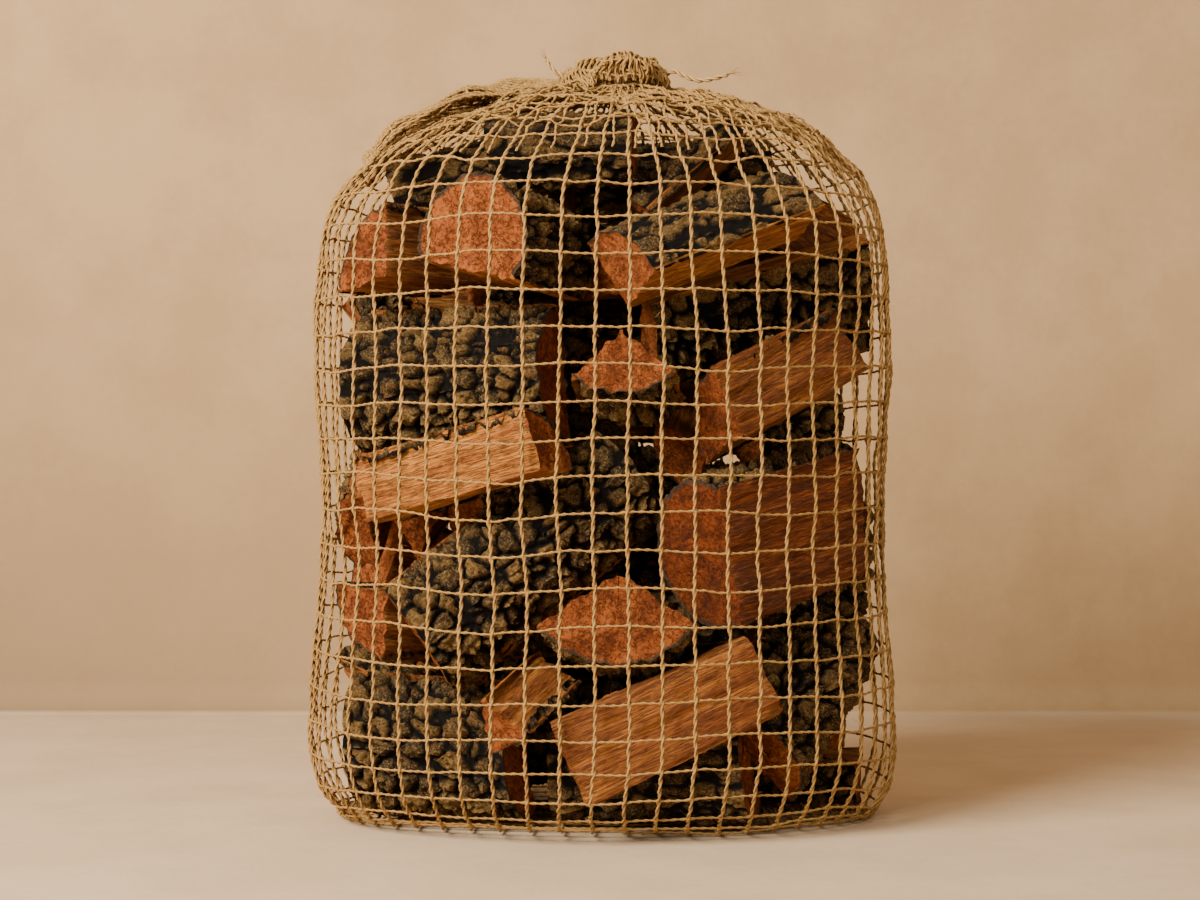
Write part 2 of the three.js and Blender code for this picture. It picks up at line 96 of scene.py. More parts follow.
def smooth(points, steps, closed=False):
    """A Catmull-Rom curve through points (..., n, 3): steps points from each point to the next.

    Between p1 and p2, at t from 0 to 1: half of 2 p1 + (p2 - p0) t + (2 p0 - 5 p1 + 4 p2 - p3) t^2
    + (3 p1 - p0 - 3 p2 + p3) t^3.
    """
    if closed:
        padded = np.concatenate([points[..., -1:, :], points, points[..., :2, :]], axis=-2)
    else:
        first = 2 * points[..., :1, :] - points[..., 1:2, :]
        last = 2 * points[..., -1:, :] - points[..., -2:-1, :]
        padded = np.concatenate([first, points, last], axis=-2)
    p0, p1, p2, p3 = (padded[..., i:padded.shape[-2] - 3 + i, None, :] for i in range(4))
    t = (np.arange(steps) / steps)[:, None]
    curve = 0.5 * (2 * p1 + (p2 - p0) * t + (2 * p0 - 5 * p1 + 4 * p2 - p3) * t**2
                   + (3 * p1 - p0 - 3 * p2 + p3) * t**3)
    curve = curve.reshape(*curve.shape[:-3], -1, 3)
    return curve if closed else np.concatenate([curve, points[..., -1:, :]], axis=-2)


def evenly(points, step):
    """A line (n, 3) cut again into equal steps of about this length."""
    along = np.concatenate([[0], np.cumsum(np.linalg.norm(np.diff(points, axis=0), axis=1))])
    at = np.linspace(0, along[-1], round(along[-1] / step) + 1)
    return np.stack([np.interp(at, along, points[:, axis]) for axis in range(3)], axis=1)


def twine(routes, outward, radius, pitch, sides, closed=False, swell=1.0, phase=0.0):
    """Two-ply twine along each of k routes at once, as points, faces and how far each point is
    out of the groove between the plies.

    routes holds m ring centres each, (k, m, 3), and outward a direction across them. A corner at
    angle a of a ring's section is at radius x (0.22 + 0.78 |cos a|), so the section has two lobes, and
    the section turns by 2 pi for each pitch of length. swell scales the radius of each ring, and
    phase is the turn that each route starts at. Open ends are closed by a point.
    """
    count, rings = routes.shape[:2]
    following = np.roll(routes, -1, axis=1) if closed else np.concatenate(
        [routes[:, 1:], 2 * routes[:, -1:] - routes[:, -2:-1]], axis=1)
    before = np.roll(routes, 1, axis=1) if closed else np.concatenate(
        [2 * routes[:, :1] - routes[:, 1:2], routes[:, :-1]], axis=1)
    tangent = unit(following - before)
    side = unit(outward - np.sum(outward * tangent, axis=2, keepdims=True) * tangent)
    other = np.cross(tangent, side)
    reach = np.cumsum(np.linalg.norm(following - routes, axis=2), axis=1)
    turns = reach / pitch
    if closed:
        turns = turns * (np.round(turns[:, -1:]) / turns[:, -1:])
    corner = 2 * np.pi * np.arange(sides) / sides
    crest = np.broadcast_to(np.abs(np.cos(corner)), (count, rings, sides))
    turns = turns + np.broadcast_to(phase, count)[:, None]
    angle = corner + 2 * np.pi * turns[..., None]
    size = (radius * np.broadcast_to(swell, (count, rings)))[..., None] * (0.22 + 0.78 * crest)
    across = np.cos(angle)[..., None] * side[:, :, None] + np.sin(angle)[..., None] * other[:, :, None]
    points = (routes[:, :, None] + size[..., None] * across).reshape(-1, 3)
    index = np.arange(count * rings * sides).reshape(count, rings, sides)
    here, there = (index, np.roll(index, -1, axis=1)) if closed else (index[:, :-1], index[:, 1:])
    faces = np.stack([here, np.roll(here, -1, axis=2), np.roll(there, -1, axis=2), there], axis=3)
    faces = faces.reshape(-1, 4)
    crest = crest.ravel()
    if not closed:
        poles = len(points) + np.arange(2 * count).reshape(2, count, 1)
        first, last = index[:, 0], index[:, -1]
        near_pole, far_pole = (np.broadcast_to(pole, first.shape) for pole in poles)
        near = np.stack([np.roll(first, -1, axis=1), first, near_pole, near_pole], axis=2)
        far = np.stack([last, np.roll(last, -1, axis=1), far_pole, far_pole], axis=2)
        faces = np.concatenate([faces, near.reshape(-1, 4), far.reshape(-1, 4)])
        points = np.concatenate([points, routes[:, 0], routes[:, -1]])
        crest = np.concatenate([crest, np.ones(2 * count)])
    return points, faces, crest


def new_piece(name, points, faces, values=(), material=None):
    """A piece of the object as a mesh, with its named values at each point.

    faces has four corners a row. A row whose last two are the same point is a triangle.
    """
    used = np.ones(faces.shape, bool)
    used[:, 3] = faces[:, 3] != faces[:, 2]
    mesh = bpy.data.meshes.new(name)
    mesh.vertices.add(len(points))
    mesh.vertices.foreach_set("co", np.ascontiguousarray(points, np.float32).ravel())
    mesh.loops.add(int(used.sum()))
    mesh.loops.foreach_set("vertex_index", faces[used].astype(np.int32))
    mesh.polygons.add(len(faces))
    starts = np.concatenate([[0], np.cumsum(used.sum(axis=1))[:-1]])
    mesh.polygons.foreach_set("loop_start", starts.astype(np.int32))
    mesh.update(calc_edges=True)
    mesh.shade_smooth()
    for key, value in dict(values).items():
        kind = "FLOAT" if value.ndim == 1 else "FLOAT_VECTOR"
        field = "value" if value.ndim == 1 else "vector"
        layer = mesh.attributes.new(key, kind, "POINT")
        layer.data.foreach_set(field, np.ascontiguousarray(value, np.float32).ravel())
    piece = bpy.data.objects.new(name, mesh)
    bpy.context.scene.collection.objects.link(piece)
    if material is not None:
        mesh.materials.append(material)
    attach(piece, "root")
    return piece


class Value:
    """A shader socket. Arithmetic on it adds Math nodes."""

    def __init__(self, shader, socket):
        self.shader = shader
        self.socket = socket

    def __add__(self, other):
        return self.shader.math("ADD", self, other)

    def __sub__(self, other):
        return self.shader.math("SUBTRACT", self, other)

    def __rsub__(self, other):
        return self.shader.math("SUBTRACT", other, self)

    def __mul__(self, other):
        return self.shader.math("MULTIPLY", self, other)

    __radd__ = __add__
    __rmul__ = __mul__


class Shader:
    """A material and the nodes that feed its surface."""

    def __init__(self, name, **constants):
        self.material = bpy.data.materials.new(name)
        self.material.use_nodes = True
        self.tree = self.material.node_tree
        self.surface = self.tree.nodes["Principled BSDF"]
        for key, value in constants.items():
            self.surface.inputs[key.replace("_", " ")].default_value = value

    def put(self, socket, value):
        if isinstance(value, Value):
            self.tree.links.new(value.socket, socket)
        else:
            socket.default_value = value

    def node(self, kind, settings, *inputs, output=0, **named):
        """Adds a node: its settings first, then its sockets by place or by name."""
        node = self.tree.nodes.new("ShaderNode" + kind)
        for key, value in settings.items():
            setattr(node, key, value)
        for key, value in [*enumerate(inputs), *named.items()]:
            self.put(node.inputs[key], value)
        return Value(self, node.outputs[output])

    def math(self, operation, *values):
        return self.node("Math", {"operation": operation}, *values)

    def band(self, value, low, high):
        """0 below low, 1 above high, and a smooth rise between them."""
        return self.node("MapRange", {"interpolation_type": "SMOOTHSTEP"}, value, low, high)

    def mix(self, share, first, second):
        """The first colour at 0 and the second at 1."""
        node = self.tree.nodes.new("ShaderNodeMix")
        node.data_type = "RGBA"
        for place, value in ((0, share), (6, first), (7, second)):
            if isinstance(value, tuple):
                value = (*value, 1)
            self.put(node.inputs[place], value)
        return Value(self, node.outputs[2])

    def attribute(self, name, output="Fac"):
        return self.node("Attribute", {"attribute_name": name}, output=output)

    def place(self):
        return self.node("TexCoord", {}, output="Object")

    def stretch(self, vector, by):
        return self.node("VectorMath", {"operation": "MULTIPLY"}, vector, by)

    def noise(self, vector, scale, detail=4, rough=0.6):
        return self.node("TexNoise", {}, Vector=vector, Scale=scale, Detail=detail, Roughness=rough)

    def near_middle(self, value, width):
        """0 where value is 0.5 and 1 where it is width or more from it, so a noise gives thin lines."""
        return self.band(self.math("ABSOLUTE", value - 0.5), 0.0, width)

    def finish(self, colour, height, bump):
        """Feeds the surface, with bumps as deep as bump for a height from 0 to 1."""
        self.put(self.surface.inputs["Base Color"], colour)
        lift = self.node("Bump", {}, Strength=1.0, Distance=bump, Height=height)
        self.put(self.surface.inputs["Normal"], lift)
        return self.material


def jute(name, light, dark):
    """Jute: pale dry plies with a painted highlight on their crests and painted shade in the grooves
    between them, and patches of both pale and dark along the twine.
    """
    shader = Shader(name, Roughness=0.85, Specular_IOR_Level=0.25)
    crest = shader.attribute("crest")
    patches = shader.noise(shader.place(), 70, 3)
    hairs = shader.noise(shader.place(), 1400, 3, 0.7)
    # Painted highlight: the pale colour comes in on the crests of the plies, mixed with random patches
    # of real tone.
    lit = shader.band(crest * 0.7 + patches * 0.5 + hairs * 0.35, 0.35, 1.15)
    colour = shader.mix(lit, dark, light)
    # Painted shade: the grooves between the plies are darkened towards near black.
    groove = shader.band(crest, 0.0, 0.55)
    colour = shader.mix(groove, shader.mix(0.6, colour, (0.07, 0.03, 0.01)), colour)
    return shader.finish(colour, hairs, 0.0006)


TWINE = jute("twine", (0.60, 0.385, 0.155), (0.30, 0.16, 0.05))


def wander(count, seed):
    """Repeatable random numbers from -1 to 1, count rows of three."""
    return np.random.default_rng(seed).uniform(-1, 1, (count, 3))


tie_coil = np.stack([NECK[0] + TIE_RADIUS * np.cos(TIE_LAP),
                     TIE_RADIUS * np.sin(TIE_LAP),
                     np.linspace(TIE_FOOT, TIE_HEAD, len(TIE_LAP))], axis=1)
tie_route = evenly(smooth(np.concatenate([TIE_LEAD, tie_coil, TIE_TAIL]), 16), TIE_STEP)
points, faces, crest = twine(tie_route[None], np.array([0.12, 0.1, 1.0]), TIE_THICKNESS / 2,
                             TIE_PITCH, TIE_SIDES)
tie = new_piece("tie", points, faces, {"crest": crest}, TWINE)
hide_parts("tie_cord")

# Loose fibres that fray out of both ends of the tie.
FRAY_COUNT = 16
FRAY_LENGTH = 0.009
FRAY_RADIUS = 0.00035
FRAY_TAPER = np.linspace(1, 0.35, 7)
FRAY_BEND = 0.0016
starts = np.repeat(tie_route[[0, -1]], FRAY_COUNT // 2, axis=0) + 0.0008 * wander(FRAY_COUNT, 3)
ways = np.repeat(unit(tie_route[[0, -1]] - tie_route[[4, -5]]), FRAY_COUNT // 2, axis=0)
ways = unit(ways + 0.35 * wander(FRAY_COUNT, 4))
t = np.linspace(-0.2, 1, len(FRAY_TAPER))[None, :, None]
frays = (starts[:, None] + FRAY_LENGTH * t * ways[:, None]
         + FRAY_BEND * t**2 * wander(FRAY_COUNT, 5)[:, None])
points, faces, crest = twine(frays, np.array([0.3, 1.0, 0.2]), FRAY_RADIUS, 0.01, 5, swell=FRAY_TAPER)
fray = new_piece("tie_fray", points, faces, {"crest": crest}, TWINE)

# ---- logs ----
# Hardwood billets, sawn to length and most of them split, with bark in thick rounded knobs. Each
# keeps the size and place of its CAD solid, and the relief is cut into that solid.

LOG_STEP = 0.0019  # between two points of a log's surface
BACK_STEP = 0.0027  # and of a log at the back of the bag
HEART_STEP = 0.0036  # and of one inside it
BARK_TURN = 30  # degrees: the outline turns by less than this from one step of bark to the next
SHARP_TURN = 55  # degrees between two faces of a log's mesh with a hard edge between them
SAME_POINT = 2e-4  # metres: closer than this, two points are one, or a point is on a plane
SLIVER = 2e-6  # square metres: twice the area of the smallest triangle that counts
END_RINGS = 13
KNOB = 0.0150  # usual distance between two knobs of bark
KNOB_RELIEF = 0.0085


def corners_of(mesh):
    """A mesh's triangles (n, 3, 3)."""
    points = np.empty(3 * len(mesh.vertices), np.float32)
    mesh.vertices.foreach_get("co", points)
    index = np.empty(len(mesh.loops), np.int32)
    mesh.loops.foreach_get("vertex_index", index)
    return points.reshape(-1, 3)[index].reshape(-1, 3, 3).astype(float)


def planes_of(triangles):
    """The outward normal and offset of each triangle that isn't a sliver."""
    normals = np.cross(triangles[:, 1] - triangles[:, 0], triangles[:, 2] - triangles[:, 0])
    large = np.linalg.norm(normals, axis=1) > SLIVER
    normals = unit(normals[large])
    return normals, np.sum(normals * triangles[large, 0], axis=1)


def ends_of(triangles):
    """The corners of a log's two sawn ends, in step round it, and the direction from one to the
    other. An end is the plane that holds the most corners, and the other corners are the other end.
    """
    points = triangles.reshape(-1, 3)
    apart = np.linalg.norm(points[:, None] - points[None], axis=2)
    points = points[np.unique(np.argmax(apart < SAME_POINT, axis=1))]
    normals, offsets = planes_of(triangles)
    on_plane = np.abs(points @ normals.T - offsets) < SAME_POINT
    first = on_plane[:, np.argmax(on_plane.sum(axis=0))]
    near, far = points[first], points[~first]
    axis = unit(far.mean(axis=0) - near.mean(axis=0))
    u = unit(np.cross(axis, [0.31, 0.52, 0.79]))
    v = np.cross(axis, u)

    def in_order(end):
        out = end - end.mean(axis=0)
        return end[np.argsort(np.arctan2(out @ v, out @ u))]

    near, far = in_order(near), in_order(far)
    ways = unit(near - near.mean(axis=0))
    out_far = unit(far - far.mean(axis=0))
    fits = [np.sum(ways * np.roll(out_far, -k, axis=0)) for k in range(len(far))]
    return near, np.roll(far, -int(np.argmax(fits)), axis=0), (u, v, axis)


def scatter(cells, salt):
    """Three numbers from 0 to 1 for each lattice cell (..., 3), always the same for that cell."""
    cells = cells.astype(np.int64).astype(np.uint64)
    mixed = (cells[..., 0] * np.uint64(73856093) ^ cells[..., 1] * np.uint64(19349663)
             ^ cells[..., 2] * np.uint64(83492791) ^ np.uint64(salt * 40503 + 7))
    numbers = []
    for _ in range(3):
        mixed = (mixed ^ (mixed >> np.uint64(29))) * np.uint64(0xBF58476D1CE4E5B9)
        mixed = mixed ^ (mixed >> np.uint64(32))
        numbers.append((mixed & np.uint64(0xFFFFFF)).astype(float) / 0xFFFFFF)
    return np.stack(numbers, axis=-1)


def lumps(points, salt):
    """Cellular noise: distance to the nearest and second nearest of one random point in each unit
    cell, and a random tone that goes with the nearest."""
    cell = np.floor(points)
    nearest = np.full(len(points), 9.0)
    second = np.full(len(points), 9.0)
    tone = np.zeros(len(points))
    for shift in np.ndindex(3, 3, 3):
        there = cell + np.array(shift) - 1
        spot = scatter(there, salt)
        distance = np.linalg.norm(there + 0.1 + 0.8 * spot - points, axis=1)
        closer = distance < nearest
        second = np.where(closer, nearest, np.minimum(second, distance))
        tone = np.where(closer, scatter(there, salt + 91)[:, 0], tone)
        nearest = np.minimum(nearest, distance)
    return nearest, second, tone


def ripple(points, salt, octaves=1):
    """Value noise from -1 to 1: random numbers at the corners of unit cells, blended smoothly,
    and each further octave has half the size and 0.55 of the height."""
    total = np.zeros(len(points))
    height = 1.0
    for octave in range(octaves):
        cell = np.floor(points)
        f = points - cell
        f = f * f * (3 - 2 * f)
        value = np.zeros(len(points))
        for shift in np.ndindex(2, 2, 2):
            weight = np.prod(np.where(np.array(shift) == 1, f, 1 - f), axis=1)
            value += weight * scatter(cell + np.array(shift), salt + octave)[:, 0]
        total += height * (2 * value - 1)
        points = 2 * points + 17.3
        height *= 0.55
    return total


def rise(x, low, high):
    """0 below low, 1 above high, smooth between."""
    t = np.clip((x - low) / (high - low), 0, 1)
    return t * t * (3 - 2 * t)


def bark_relief(local, salt, ridged):
    """How far bark stands out of the log's outline, from minus its relief to about 0, with how
    high each point is on its knob and the knob's tone. local is in the log's own axes, length last.

    A knob is a cell of the noise. Its top is flat or a little domed, and it falls away to a crack
    where the nearest two cells are as far as each other. Ridged bark has long low cells.
    """
    size = KNOB * np.array([1.0, 1.0, 2.4] if ridged else [1.0, 1.0, 1.0])
    warp = np.stack([ripple(local / 0.013, salt + 10 * k, 2) for k in range(3)], axis=1)
    nearest, second, tone = lumps(local / size + 0.26 * warp, salt)
    top = rise(second - nearest, 0.01, 0.30)
    small, next_small, grit = lumps(local / (0.36 * size) + 0.3 * warp, salt + 5)
    crumb = rise(next_small - small, 0.0, 0.4) * (0.5 + 0.5 * grit)
    relief = KNOB_RELIEF * (0.5 if ridged else 1.0)
    depth = relief * (top * (0.74 + 0.26 * tone) - 1.0) - 0.0024 * top * nearest**2
    depth = depth + 0.0038 * (crumb - 0.6) * (0.35 + 0.65 * top)
    depth = depth + 0.0011 * ripple(local / 0.0034, salt + 30, 2)
    return depth, top * (0.5 + 0.5 * crumb), 0.6 * tone + 0.4 * grit


def split_relief(local, salt):
    """How far a split face stands out: long ridges and torn steps that run with the grain, so the
    noise is drawn out along the log."""
    long = local * np.array([1, 1, 0.07])
    steps = ripple(long / 0.011, salt + 50, 2)
    torn = ripple(long / 0.0045, salt + 60, 2)
    sweep = ripple(local / 0.06, salt + 70)
    return 0.0020 * (steps - 0.6) + 0.0013 * torn + 0.0016 * (sweep - 0.8)


def log_surface(triangles, step, salt, ridged):
    """A log's whole surface: points, faces, the finish of each face (0 bark, 1 split, 2 sawn) and
    the values that its materials read.

    The side is the straight line from each point of one end's outline to the same point of the
    other's, and each end is its outline drawn in to the middle in rings.
    """
    near, far, (u, v, axis) = ends_of(triangles)
    count = len(near)
    edges = np.roll(near, -1, axis=0) - near
    ways = unit(edges)
    turn = np.degrees(np.arccos(np.clip(np.sum(ways * np.roll(ways, 1, axis=0), axis=1), -1, 1)))
    bark_edge = np.minimum(turn, np.roll(turn, -1)) < BARK_TURN
    lengths = np.linalg.norm(edges, axis=1)
    cuts = np.maximum(2, np.ceil(lengths / step).astype(int))
    edge = np.repeat(np.arange(count), cuts)
    t = np.concatenate([np.arange(n) / n for n in cuts])[:, None]
    following = (edge + 1) % count
    line_near = near[edge] * (1 - t) + near[following] * t
    line_far = far[edge] * (1 - t) + far[following] * t
    bark = bark_edge[edge].astype(float)
    blend = sum(np.roll(bark, k) for k in (-1, 0, 1)) / 3
    sharp = turn > BARK_TURN
    corner_gap = np.linalg.norm(line_near[:, None] - near[sharp][None], axis=2).min(axis=1) \
        if sharp.any() else np.full(len(bark), 1.0)

    length = np.linalg.norm(far.mean(axis=0) - near.mean(axis=0))
    rows = max(12, math.ceil(length / step))
    s = np.linspace(0, 1, rows)[:, None, None]
    side = line_near * (1 - s) + line_far * s
    outward = unit(np.cross(np.roll(side, -1, axis=1) - np.roll(side, 1, axis=1), axis))
    centre = near.mean(axis=0) * (1 - s) + far.mean(axis=0) * s
    shape = side.shape[:2]

    def local_of(points):
        return np.stack([points @ u, points @ v, points @ axis], axis=-1).reshape(-1, 3)

    local = local_of(side)
    knob, high, tone = (value.reshape(shape) for value in bark_relief(local, salt, ridged))
    torn = split_relief(local, salt).reshape(shape)
    chip = ripple(local * np.array([1, 1, 0.4]) / 0.006, salt + 80, 2).reshape(shape)
    wear = np.exp(-corner_gap / 0.0022) * (0.0011 + 0.0012 * chip)
    end_gap = np.minimum(s[..., 0], 1 - s[..., 0]) * length
    end_wear = np.exp(-end_gap / 0.0018) * (0.0007 + 0.0009 * chip)
    trimmed = np.exp(-end_gap / 0.004)
    knob = knob * (1 - 0.8 * trimmed) - 0.0022 * trimmed
    side = side + outward * (blend * knob + (1 - blend) * torn)[..., None]
    side = side + unit(centre - side) * (wear + end_wear)[..., None]
    saw = ripple(local / 0.012, salt + 90, 2).reshape(shape)
    lean = np.exp(-end_gap / 0.003) * 0.0012 * saw
    side = side + axis * lean[..., None]

    shares = (np.arange(END_RINGS) + 0.6) / (END_RINGS + 0.6)

    def end_rings(rim, middle, way):
        rings = middle + (rim - middle) * shares[:, None, None]
        flat = local_of(rings)
        rough = (0.0012 * ripple(flat / 0.0045, salt + 100, 2)
                 + 0.0016 * ripple(flat / 0.016, salt + 110, 2))
        fade = (1 - shares**6)[:, None, None]
        return rings + way * fade * (rough.reshape(END_RINGS, -1) - 0.0006)[..., None]

    near_rings = end_rings(side[0], side[0].mean(axis=0), -axis)
    far_rings = end_rings(side[-1], side[-1].mean(axis=0), axis)[::-1]
    grid = np.concatenate([near_rings, side, far_rings])
    poles = near_rings[:1].mean(axis=1), far_rings[-1:].mean(axis=1)
    points = np.concatenate([grid.reshape(-1, 3), *poles])
    total, around = grid.shape[:2]
    index = np.arange(total * around).reshape(total, around)
    ring, over = index[:-1], index[1:]
    quads = np.stack([ring, np.roll(ring, -1, axis=1), np.roll(over, -1, axis=1), over], axis=2)
    finish = np.full((total - 1, around), 2)
    finish[END_RINGS:END_RINGS + rows - 1] = np.where(bark > 0.5, 0, 1)
    near_pole = np.full(around, total * around)
    far_pole = near_pole + 1
    near_fan = np.stack([np.roll(index[0], -1), index[0], near_pole, near_pole], axis=1)
    far_fan = np.stack([index[-1], np.roll(index[-1], -1), far_pole, far_pole], axis=1)
    faces = np.concatenate([quads.reshape(-1, 4), near_fan, far_fan])
    finish = np.concatenate([finish.ravel(), np.full(2 * around, 2)])

    def spread(on_side, on_ends):
        blank = np.full((END_RINGS, around), on_ends)
        return np.concatenate([np.concatenate([blank, on_side, blank]).ravel(), [on_ends, on_ends]])

    rim = np.concatenate([shares, np.ones(rows), shares[::-1]])[:, None] * np.ones(around)
    under_bark = np.concatenate([(rim * bark).ravel(), [0, 0]])
    values = {
        "high": spread(high, 1.0),
        "tone": spread(tone, 0.5),
        "under_bark": under_bark,
        "grain": local_of(points) + 0.37 * salt,
    }
    return points, faces, finish, values


def bark_material():
    """Dry bark: ochre to grey-brown on the knobs, with painted shade going near black low on each knob
    and down in the cracks, and gritty all over, with a painted highlight on the tops of the fine grit
    and painted shade in its pits.
    """
    shader = Shader("bark", Roughness=0.92, Specular_IOR_Level=0.2)
    grain = shader.attribute("grain", "Vector")
    high = shader.attribute("high")
    tone = shader.attribute("tone")
    grit = shader.noise(grain, 620, 5, 0.72)
    patch = shader.noise(grain, 55, 3)
    ochre = shader.band(tone + patch * 0.6, 0.45, 1.15)
    warm = shader.mix(ochre, (0.060, 0.036, 0.016), (0.25, 0.140, 0.040))
    # Painted highlight: pale ochre on the tops of the fine grit, whose noise is also the bump's height.
    pale = shader.mix(shader.band(grit, 0.48, 0.70), warm, (0.42, 0.285, 0.115))
    rusty = shader.band(shader.noise(grain, 190, 3), 0.55, 0.72)
    brown = shader.mix(rusty, pale, (0.19, 0.075, 0.024))
    # Painted shade: near black in the pits of the fine grit.
    dark = shader.mix(shader.band(grit, 0.30, 0.50), (0.014, 0.008, 0.005), brown)
    # Painted shade: near black low on each knob and down in the cracks between knobs.
    colour = shader.mix(shader.band(high + grit * 0.3, 0.24, 0.82), (0.006, 0.004, 0.003), dark)
    return shader.finish(colour, grit, 0.0040)


def split_material():
    """A split face: orange-brown wood whose fibres run along the log, redder and darker in streaks,
    with dark splits along the grain, a painted highlight on the raised fibres and painted shade between
    them."""
    shader = Shader("split_wood", Roughness=0.78, Specular_IOR_Level=0.3)
    grain = shader.attribute("grain", "Vector")
    tint = shader.attribute("tint")
    along = shader.stretch(grain, (1, 1, 0.06))
    fibre = shader.noise(along, 1150, 5, 0.72)
    streak = shader.noise(along, 170, 4, 0.6)
    blotch = shader.noise(shader.stretch(grain, (1, 1, 0.35)), 38, 3)
    base = shader.mix(tint, (0.25, 0.052, 0.007), (0.74, 0.310, 0.058))
    deep = shader.mix(tint, (0.110, 0.021, 0.004), (0.44, 0.130, 0.022))
    colour = shader.mix(shader.band(streak + blotch * 0.5, 0.60, 0.92), deep, base)
    # Painted highlight: paler orange on the raised fibres, where the fibre noise that also gives the
    # bump is high.
    colour = shader.mix(shader.band(fibre, 0.52, 0.75) * 0.55, colour, (0.76, 0.390, 0.105))
    # Painted shade: near black between the fibres, where the fibre noise is low.
    colour = shader.mix(shader.band(fibre, 0.48, 0.30) * 0.85, colour, (0.070, 0.020, 0.006))
    split = shader.near_middle(shader.noise(along, 330, 3, 0.7), 0.030)
    thin = shader.near_middle(shader.noise(along, 780, 2, 0.6), 0.045)
    colour = shader.mix(split * 0.5 + thin * 0.3 + 0.2, (0.050, 0.013, 0.003), colour)
    return shader.finish(colour, fibre * 0.4 + streak * 0.3 + split * 0.4 + thin * 0.2, 0.0034)


def sawn_material():
    """A sawn end: brick-pink and crumbly, with torn pores and a dark rim of bark."""
    shader = Shader("sawn_wood", Roughness=0.88, Specular_IOR_Level=0.2)
    grain = shader.attribute("grain", "Vector")
    tint = shader.attribute("tint")
    rim = shader.attribute("under_bark")
    crumb = shader.noise(grain, 480, 5, 0.7)
    blotch = shader.noise(grain, 60, 4)
    base = shader.mix(tint, (0.21, 0.042, 0.006), (0.50, 0.150, 0.034))
    deep = shader.mix(tint, (0.085, 0.018, 0.004), (0.27, 0.066, 0.015))
    colour = shader.mix(shader.band(blotch + crumb * 0.5, 0.58, 0.88), deep, base)
    colour = shader.mix(shader.band(crumb, 0.44, 0.28), colour, (0.070, 0.018, 0.007))
    torn = shader.near_middle(shader.noise(grain, 150, 4, 0.7), 0.030)
    colour = shader.mix(torn * 0.6 + 0.4, (0.06, 0.015, 0.005), colour)
    edge = shader.band(rim + shader.noise(grain, 120, 3) * 0.10, 0.96, 1.02)
    colour = shader.mix(edge, colour, (0.075, 0.045, 0.026))
    return shader.finish(colour, crumb * 0.8 + torn * 0.4, 0.0036)


LOG_FINISHES = [bark_material(), split_material(), sawn_material()]
RIDGED = ("log_crown", "log_crown_left", "log_crown_front", "log_crown_right", "log_crown_back",
          "log_top_right", "log_base_front", "log_shoulder_right")
# How the names of the logs inside the bag start.
HEART = ("log_heart", "log_inner", "log_top_middle", "log_left_middle", "log_low_right_back")
# How tan a log's wood is, from red-brown at 0 to tan at 1, where it isn't the usual.
USUAL_TINT = 0.5
TINTS = {
    "log_top_left": 0.5, "log_top_end_on": 0.7, "log_top_right": 0.75, "log_ridge": 0.6,
    "log_long_split_left": 0.72, "log_centre_wedge": 0.6, "log_split_upper_right": 0.3,
    "log_big_end": 0.05, "log_low_wedge": 0.45, "log_long_split_low": 0.42,
    "log_left_block": 0.55, "log_left_wedge": 0.7, "log_thin_wedge": 0.5, "log_shoulder_right": 0.3,
}

log_names = sorted(name for name in frame["nodes"] if name.startswith("log_"))
log_planes = {}
for salt, name in enumerate(log_names, 1):
    triangles = corners_of(frame["nodes"][name].data)
    log_planes[name] = planes_of(triangles)
    step = BACK_STEP if name.startswith("log_back") else LOG_STEP
    step = HEART_STEP if name.startswith(HEART) else step
    points, faces, finish, values = log_surface(triangles, step, salt, name in RIDGED)
    values["tint"] = np.full(len(points), TINTS.get(name, USUAL_TINT + 0.2 * math.sin(5 * salt)))
    slot = next(part["material_slot"] for part in frame["record"]["subparts"] if part["node"] == name)
    log = new_piece(name.replace("log_", "billet_"), points, faces, values)
    for material in LOG_FINISHES:
        log.data.materials.append(material)
    log.data.polygons.foreach_set("material_index", finish.astype(np.int32))
    log.data.set_sharp_from_angle(angle=math.radians(SHARP_TURN))
    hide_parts(name)

# ---- netting ----
# Jute netting knitted as a tube: upright two-ply cords with thinner level cords drawn through them.
# It is sewn flat across the bottom, filled until it is tight, and gathered in the tie, above which
# its mouth is crumpled into a puff.

NET_COLUMNS = 54
CELL_RISE = 0.0235
# The radius of each kind of cord, the length of one turn of its plies and the sides of its mesh.
UPRIGHT = (0.00142, 0.0145, 7)
LEVEL = (0.00104, 0.0120, 6)
FINE = 3  # steps of the draped surface from one cord to the next
SQUARENESS = 2.2
NET_CLEAR = 0.0021  # from a cord's middle line to a log
WIDEST = 1.03  # the hem's share of the bag's half width
NET_OUTLINE = np.array([
    (0.93, 0.0050), (1.00, 0.0150), (1.03, 0.0400), (1.02, 0.0700), (1.00, 0.1200), (0.98, 0.1900),
    (0.99, 0.2600), (1.00, 0.3200), (0.985, 0.3880), (0.955, 0.4130), (0.86, 0.4400),
    (0.69, 0.4630), (0.47, 0.4790), (0.23, 0.4880), (0.11, 0.4905),
])  # share of the half width, and height
BASE_HEIGHT = 0.0021
BASE_ROWS = 7
HEM_ROUNDS = 140  # of draping
WALL_ROUNDS = 50
# The puff's radius and height, from the neck up, out and down.
PUFF = np.array([(0.0172, 0.4940), (0.0165, 0.4965), (0.0165, 0.4990), (0.0178, 0.5020),
                 (0.0205, 0.5050), (0.0240, 0.5072), (0.0275, 0.5080), (0.0305, 0.5068),
                 (0.0330, 0.5040), (0.0345, 0.5005), (0.0352, 0.4965), (0.0355, 0.4925),
                 (0.0350, 0.4890)])

net_low, net_high = (np.array(corner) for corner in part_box("net_bag"))
half = (net_high - net_low)[:2] / 2 / WIDEST


